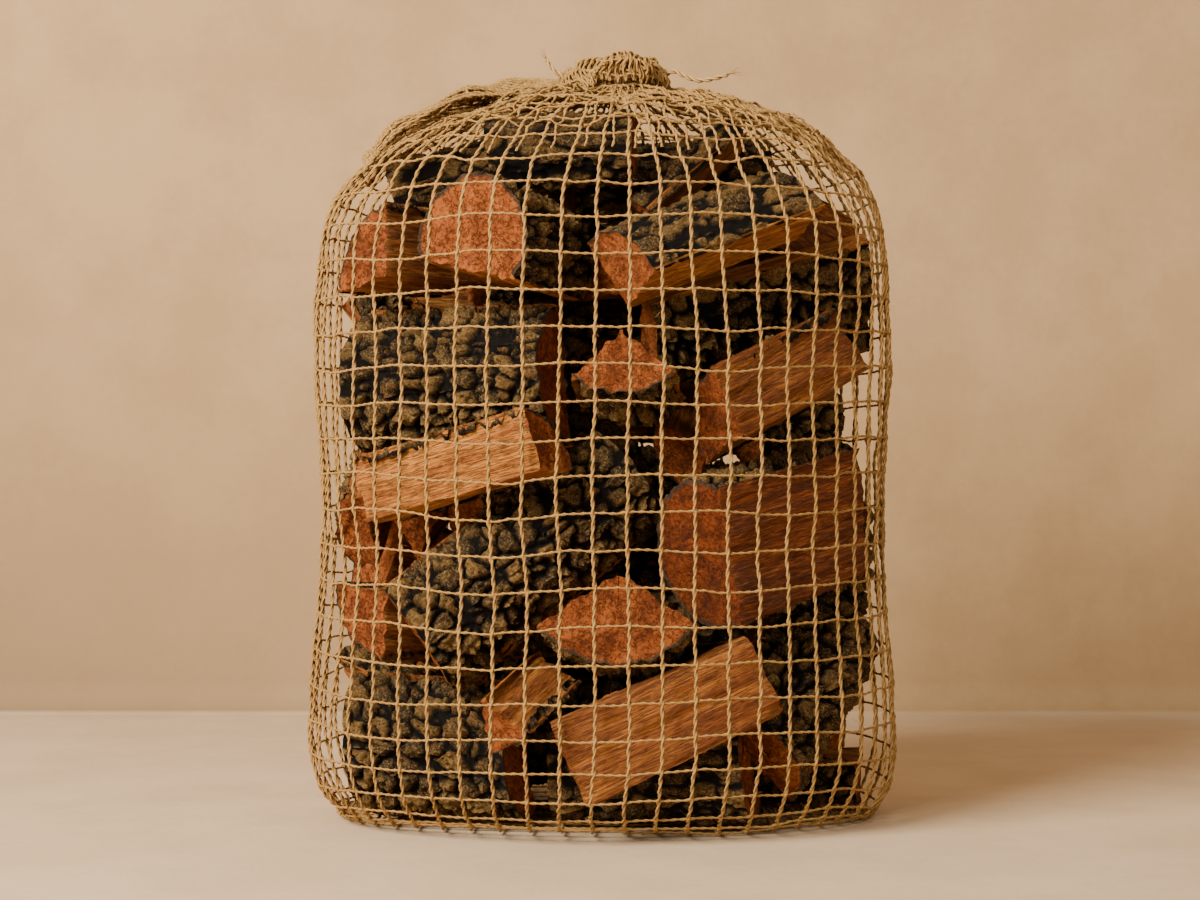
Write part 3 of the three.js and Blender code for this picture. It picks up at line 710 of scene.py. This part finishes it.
def plan_of_bag(count):
    """count points evenly spaced round the bag's plan, which is a superellipse of half widths 1:
    |x|^n + |y|^n = 1. They are spaced on the real bag, which is wider than deep."""
    angle = np.linspace(0, 2 * np.pi, 2881)
    c, s = np.cos(angle), np.sin(angle)
    reach = (np.abs(c)**SQUARENESS + np.abs(s)**SQUARENESS)**(-1 / SQUARENESS)
    lap = np.stack([c * reach, s * reach], axis=1)
    walked = np.concatenate([[0], np.cumsum(np.linalg.norm(np.diff(lap * half, axis=0), axis=1))])
    at = (np.arange(count) + 0.5) / count * walked[-1]
    return np.stack([np.interp(at, walked, lap[:, k]) for k in range(2)], axis=1)


def net_home():
    """Where the netting would be if no log pushed it, as a grid (rows, columns, 3), with the first
    and last row that the logs may move. Rows run from the seam under the bag, out along the ground,
    up the wall, over the dome and through the tie to the edge of the puff."""
    plan = plan_of_bag(NET_COLUMNS * FINE)
    share = np.arange(BASE_ROWS * FINE) / (BASE_ROWS * FINE)
    edge = NET_OUTLINE[0, 0] * half
    base = np.stack([np.broadcast_to(plan[:, 0] * edge[0], (len(share), len(plan))),
                     share[:, None] * plan[:, 1] * edge[1],
                     np.full((len(share), len(plan)), BASE_HEIGHT)], axis=2)
    share_out, up = NET_OUTLINE.T
    line = smooth(np.stack([share_out * half[0], 0 * share_out, up], axis=1), 12)
    along = np.concatenate([[0], np.cumsum(np.linalg.norm(np.diff(line, axis=0), axis=1))])
    rows = round(along[-1] / CELL_RISE) * FINE
    at = np.linspace(0, along[-1], rows + 1)
    width = np.interp(at, along, line[:, 0]) / half[0]
    height = np.interp(at, along, line[:, 2])
    closing = rise(height, 0.40, 0.488)[:, None]
    # Towards the neck the cords bunch into folds, and the plan becomes round.
    angle = np.arctan2(plan[:, 1] * half[1], plan[:, 0] * half[0])
    bunch = closing**2 * (0.055 * np.sin(7 * angle + 1) + 0.04 * np.sin(12 * angle + 2))
    plan_x = plan[:, 0] * half[0] * (1 - closing**3) + np.cos(angle) * half[0] * closing**3
    plan_y = plan[:, 1] * half[1] * (1 - closing**3) + np.sin(angle) * half[0] * closing**3
    x = (plan_x * np.cos(bunch) - plan_y * np.sin(bunch)) * width[:, None] + NECK[0] * closing
    y = (plan_x * np.sin(bunch) + plan_y * np.cos(bunch)) * width[:, None]
    wall = np.stack([x, y, np.broadcast_to(height[:, None], x.shape)], axis=2)
    spin = angle[None] + 0.1 * np.arange(len(PUFF))[:, None] / len(PUFF)
    puff = np.stack([NECK[0] + PUFF[:, :1] * np.cos(spin), PUFF[:, :1] * np.sin(spin),
                     np.broadcast_to(PUFF[:, 1:], spin.shape)], axis=2)
    return np.concatenate([base, wall, puff]), len(base), len(base) + len(wall) - 2


def shake(points, size, salt, octaves):
    """Noise of this size at each of points (..., 3), in all three directions."""
    flat = points.reshape(-1, 3) / size
    return np.stack([ripple(flat, salt + k, octaves) for k in range(3)], axis=1).reshape(points.shape)


def crumple(net, last):
    """Uneven draw of the netting: each point is moved by slow, medium and quick noise, all small on
    the wall and larger on the dome and in the puff."""
    z = net[..., 2:]
    dome = rise(z, 0.405, 0.44)
    puff = np.zeros(z.shape)
    puff[last + 4:] = 1
    above = np.where(z > BASE_HEIGHT + 0.001, 1.0, 0.3)
    moved = (0.0042 + 0.0010 * dome) * shake(net, 0.075, 300, 1) * np.array([0.7, 0.7, 1.0])
    moved = moved + (0.0011 + 0.0016 * dome) * shake(net, 0.026, 310, 2) \
        + 0.0005 * shake(net, 0.008, 320, 1)
    moved = moved * (1 - 0.7 * puff) + 0.0068 * puff * shake(net, 0.017, 340, 2)
    return net + moved * above


def clear_of_logs(points):
    """Moves points (n, 3) straight out of any log that they are in or too near, through the log's
    nearest face."""
    for normals, offsets in log_planes.values():
        depth = points @ normals.T - offsets
        nearest = np.argmax(depth, axis=1)
        gap = depth[np.arange(len(points)), nearest]
        points = points + np.maximum(0, NET_CLEAR - gap)[:, None] * normals[nearest]
    return points


def drape(home, first, last, rounds):
    """Draws the netting tight over the logs: in each round a point goes part of the way to the mean
    of its four neighbours, a little back towards home, and then out of the logs. Low at the front and
    back little holds it, so it comes in under the logs; it stands out at the bottom corners."""
    net = home.copy()
    free = slice(first, last)
    corner = rise(np.abs(home[free, :, :1]), 0.78 * half[0], 0.95 * half[0])
    low = 1 - rise(home[free, :, 2:], 0.06, 0.13)
    hold = 0.045 - 0.031 * low * (1 - corner)
    for _ in range(rounds):
        across = (np.roll(net, 1, axis=1) + np.roll(net, -1, axis=1))[free] / 2
        along = (net[first - 1:last - 1] + net[first + 1:last + 1]) / 2
        moved = (net[free] + 0.5 * ((across + along) / 2 - net[free])
                 + hold * (home[free] - net[free]))
        net[free] = clear_of_logs(moved.reshape(-1, 3)).reshape(moved.shape)
        net[free, :, 2] = np.maximum(net[free, :, 2], BASE_HEIGHT)
    return net


def whole_faces(planes):
    """A log's planes with each one kept once."""
    keys = np.round(np.column_stack(planes) * [100, 100, 100, 2000]).astype(int)
    _, kept = np.unique(keys, axis=0, return_index=True)
    return planes[0][kept], planes[1][kept]


def cords(name, routes, outward, kind, steps, seed, closed=False, knots=FINE):
    """A piece made of many cords of a kind (radius, pitch, sides), each a smooth line through its
    points. At every knots points there is a knot, 0.30 thicker, unless knots is 0."""
    lines = smooth(routes, steps, closed)
    ways = smooth(outward, steps, closed)
    apart = knots * steps
    ring = np.arange(lines.shape[1])
    swell = 1.0
    if knots:
        off_knot = np.abs((ring + apart / 2) % apart - apart / 2)
        swell = 1 + 0.30 * np.exp(-(off_knot / (0.28 * steps))**2)
    phase = np.random.default_rng(seed).uniform(0, 1, len(lines))
    points, faces, crest = twine(lines, ways, *kind, closed, swell, phase)
    piece = new_piece(name, points, faces, {"crest": crest}, NET_TWINE)
    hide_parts("net_bag")


NET_TWINE = jute("net_twine", (0.47, 0.275, 0.088), (0.19, 0.088, 0.022))
log_planes = {name: whole_faces(planes) for name, planes in log_planes.items()}
home, first_free, last_free = net_home()
slack_rows = 2 * FINE  # of the base, which the logs' weight doesn't hold down
hem = drape(home, first_free - slack_rows, first_free + 5 * FINE, HEM_ROUNDS)
net = crumple(drape(hem, first_free - slack_rows, last_free, WALL_ROUNDS), last_free)
net = clear_of_logs(net.reshape(-1, 3)).reshape(net.shape)
net[..., 2] = np.maximum(net[..., 2], BASE_HEIGHT)
outward = unit(np.cross(np.roll(net, -1, axis=1) - np.roll(net, 1, axis=1), np.gradient(net, axis=0)))

upright_routes = net[:, ::FINE].transpose(1, 0, 2)
upright_ways = outward[:, ::FINE].transpose(1, 0, 2)
quarters = ("back_right", "back_left", "front_left", "front_right")
for number, (quarter, columns) in enumerate(zip(quarters, np.array_split(np.arange(NET_COLUMNS), 4))):
    cords("net_uprights_" + quarter, upright_routes[columns], upright_ways[columns], UPRIGHT, 5,
          20 + number)

level_rows = np.arange(FINE, len(net), FINE)
for number, (part, rows) in enumerate(zip(("lower", "upper"), np.array_split(level_rows, 2))):
    cords("net_levels_" + part, net[rows], outward[rows], LEVEL, 4, 30 + number, closed=True)

# The seam under the bag, where the two sides of the tube are sewn together.
SEAM = (0.0018, 0.008, 8)  # radius, pitch and sides
SEAM_POINTS = 60
seam_x = np.linspace(-0.93, 0.93, SEAM_POINTS) * half[0]
seam_z = np.full(SEAM_POINTS, BASE_HEIGHT + 0.0002)
seam = np.stack([seam_x, 0.001 * np.sin(90 * seam_x), seam_z], axis=1)[None]
cords("net_seam", seam, np.zeros_like(seam) + [0, 0, 1.0], SEAM, 4, 40, knots=0)

# Slack netting in a loose fold that runs from the neck over the left shoulder.
FOLD_CORDS = 26
FOLD_LINE = np.array([(-0.010, 0.4905), (-0.034, 0.4970), (-0.062, 0.4960), (-0.090, 0.4895),
                      (-0.115, 0.4800), (-0.138, 0.4660), (-0.158, 0.4450)])  # x and z
share = np.linspace(-1, 1, FOLD_CORDS)[:, None]
far = np.linspace(0, 1, len(FOLD_LINE))[None]
fold = np.stack([np.broadcast_to(FOLD_LINE[:, 0], (FOLD_CORDS, len(FOLD_LINE))),
                 share * (0.007 + 0.052 * far) - 0.012 * far,
                 FOLD_LINE[:, 1] - 0.010 * share**2 * far - 0.002], axis=2)
fold = fold + 0.0060 * shake(fold, 0.016, 330, 2) * rise(far, 0.0, 0.25)[..., None]
fold_out = np.zeros_like(fold) + [0, 0.2, 1.0]
cords("net_fold_uprights", fold, fold_out, UPRIGHT, 12, 41, knots=1)
cords("net_fold_levels", fold.transpose(1, 0, 2)[1:], fold_out.transpose(1, 0, 2)[1:], LEVEL, 4, 42,
      knots=0)

# Slack netting over the dome, crumpled into the neck between the cords that reach it straight.
SLACK_FROM = 0.436  # height of its lowest cord
slack_first = first_free + int(np.argmax(home[first_free:, 0, 2] > SLACK_FROM))
slack = net[slack_first:]
slack_ways = outward[slack_first:]
fade = rise(np.arange(len(slack)), 0, 6)[:, None, None]
slack = slack + 0.0042 * fade * shake(slack, 0.013, 350, 2) + 0.0012 * fade * slack_ways
cords("net_slack_uprights", slack[:, 1::FINE].transpose(1, 0, 2),
      slack_ways[:, 1::FINE].transpose(1, 0, 2), LEVEL, 4, 43)
cords("net_slack_levels", slack[4::FINE], slack_ways[4::FINE], LEVEL, 3, 44, closed=True)

# The ends of the netting's cords, stuffed down into the puff's mouth.
STUFFING_CORDS = 44
STUFFING_TURNS = 12  # points on each cord
STUFFING_HEIGHT = 0.5005
STUFFING_SIZE = [0.0215, 0.0215, 0.0085]
stuffing_random = np.random.default_rng(61)
stuffing = unit(stuffing_random.normal(size=(STUFFING_CORDS, STUFFING_TURNS, 3)))
stuffing = stuffing * stuffing_random.uniform(0.3, 1, (STUFFING_CORDS, STUFFING_TURNS, 1))
stuffing = np.array([*NECK, STUFFING_HEIGHT]) + stuffing * STUFFING_SIZE
cords("net_puff_stuffing", stuffing, np.zeros_like(stuffing) + [0.1, 0.2, 1.0], LEVEL, 7, 62, knots=0)

# Loose fibres that stand out of the netting's cords all over.
HAIRS = 1800
HAIR_LENGTH = 0.0050
HAIR_RADIUS = 0.00013
HAIR_BEND = 0.0012
LOWEST_ROOT = 0.01
LOWEST_HAIR = 0.001
hair_random = np.random.default_rng(51)
roots = upright_routes.reshape(-1, 3)
roots = roots[roots[:, 2] > LOWEST_ROOT]
roots = roots[hair_random.integers(0, len(roots), HAIRS)]
roots = roots + hair_random.uniform(-0.004, 0.004, (HAIRS, 3)) * [0, 0, 1]
hair_ways = unit(hair_random.normal(size=(HAIRS, 3)))
t = np.linspace(0, 1, 5)[None, :, None]
bend = hair_random.normal(size=(HAIRS, 1, 3)) * HAIR_BEND
hair_lengths = HAIR_LENGTH * hair_random.uniform(0.4, 1.2, (HAIRS, 1, 1))
hairs = roots[:, None] + hair_lengths * t * hair_ways[:, None] + t**2 * bend
hairs[..., 2] = np.maximum(hairs[..., 2], LOWEST_HAIR)
points, faces, crest = twine(hairs, np.array([0.21, 0.34, 0.91]), HAIR_RADIUS, 0.01, 3)
hair = new_piece("net_hairs", points, faces, {"crest": crest}, NET_TWINE)
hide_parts("net_bag")

# ---- floor, light ----
# A plain pale floor that sweeps up behind into a plain warm wall, in soft studio light: a large
# soft lamp high at the left front, a weak one at the right, and a warm even sky.


def stage_material():
    """Pale plaster, lighter on the floor than on the wall, with painted shade on the wall towards the
    lower left.
    """
    shader = Shader("stage", Roughness=0.75, Specular_IOR_Level=0.2)
    mottle = shader.noise(shader.place(), 9, 5, 0.6)
    fine = shader.noise(shader.place(), 120, 4, 0.6)
    tone = shader.band(mottle * 0.8 + fine * 0.2, 0.35, 0.65)
    floor_colour = shader.mix(tone, (0.55, 0.41, 0.27), (0.61, 0.465, 0.315))
    wall_colour = shader.mix(tone, (0.42, 0.275, 0.140), (0.48, 0.325, 0.172))
    across = shader.node("SeparateXYZ", {}, shader.place(), output=0)
    height = shader.node("SeparateXYZ", {}, shader.place(), output=2)
    # Painted shade: the wall is darkened towards the left and towards the floor.
    lit = shader.band(across + height * 1.6, -0.9, 0.5)
    wall_colour = shader.mix(lit, (0.25, 0.165, 0.092), wall_colour)
    colour = shader.mix(shader.band(height, 0.0, 0.004), floor_colour, wall_colour)
    # It can't be seen from behind, so the bag can be looked at from every side.
    shader.put(shader.surface.inputs["Alpha"], 1 - shader.node("NewGeometry", {}, output="Backfacing"))
    return shader.finish(colour, fine, 0.0004)


STAGE_WIDTH = 12.0
STAGE_FRONT = -6.0
STAGE_BEND = 0.62  # how far behind the bag the floor starts to rise
STAGE_RADIUS = 0.03
STAGE_TOP = 6.0
bend = np.radians(np.linspace(0, 90, 13))
profile = np.concatenate([[(STAGE_FRONT, 0.0)],
                          np.stack([STAGE_BEND + STAGE_RADIUS * np.sin(bend),
                                    STAGE_RADIUS * (1 - np.cos(bend))], axis=1),
                          [(STAGE_BEND + STAGE_RADIUS, STAGE_TOP)]])
left = np.column_stack([np.full(len(profile), -STAGE_WIDTH / 2), profile])
right = left * np.array([-1, 1, 1])
stage_points = np.concatenate([left, right])
lower = np.arange(len(profile) - 1)
stage_faces = np.stack([lower, lower + len(profile), lower + len(profile) + 1, lower + 1], axis=1)
stage_mesh = bpy.data.meshes.new("floor")
stage_mesh.from_pydata(stage_points.tolist(), [], stage_faces.tolist())
stage_mesh.shade_smooth()
stage_mesh.materials.append(stage_material())
floor = bpy.data.objects.new("floor", stage_mesh)
bpy.context.scene.collection.objects.link(floor)

BAG_MIDDLE = np.array([0, 0, 0.25])
SKY_COLOUR = (0.95, 0.80, 0.62, 1)
SKY_STRENGTH = 0.42


def lamp(name, place, size, power, colour):
    """A square lamp, in watts, that faces the middle of the bag."""
    data = bpy.data.lights.new(name, "AREA")
    data.size = size
    data.energy = power
    data.color = colour
    light = bpy.data.objects.new(name, data)
    light.location = place
    way = BAG_MIDDLE - np.array(place)
    tip = math.acos(-way[2] / np.linalg.norm(way))
    light.rotation_euler = (tip, 0, math.atan2(way[1], way[0]) - math.pi / 2)
    bpy.context.scene.collection.objects.link(light)


lamp("key", (-1.5, -1.7, 1.5), 1.3, 185, (1.0, 0.91, 0.78))
lamp("fill", (1.9, -1.5, 0.9), 1.6, 8, (1.0, 0.88, 0.74))
world = bpy.data.worlds.new("studio")
world.use_nodes = True
sky = world.node_tree.nodes["Background"].inputs
sky["Color"].default_value = SKY_COLOUR
sky["Strength"].default_value = SKY_STRENGTH
bpy.context.scene.world = world
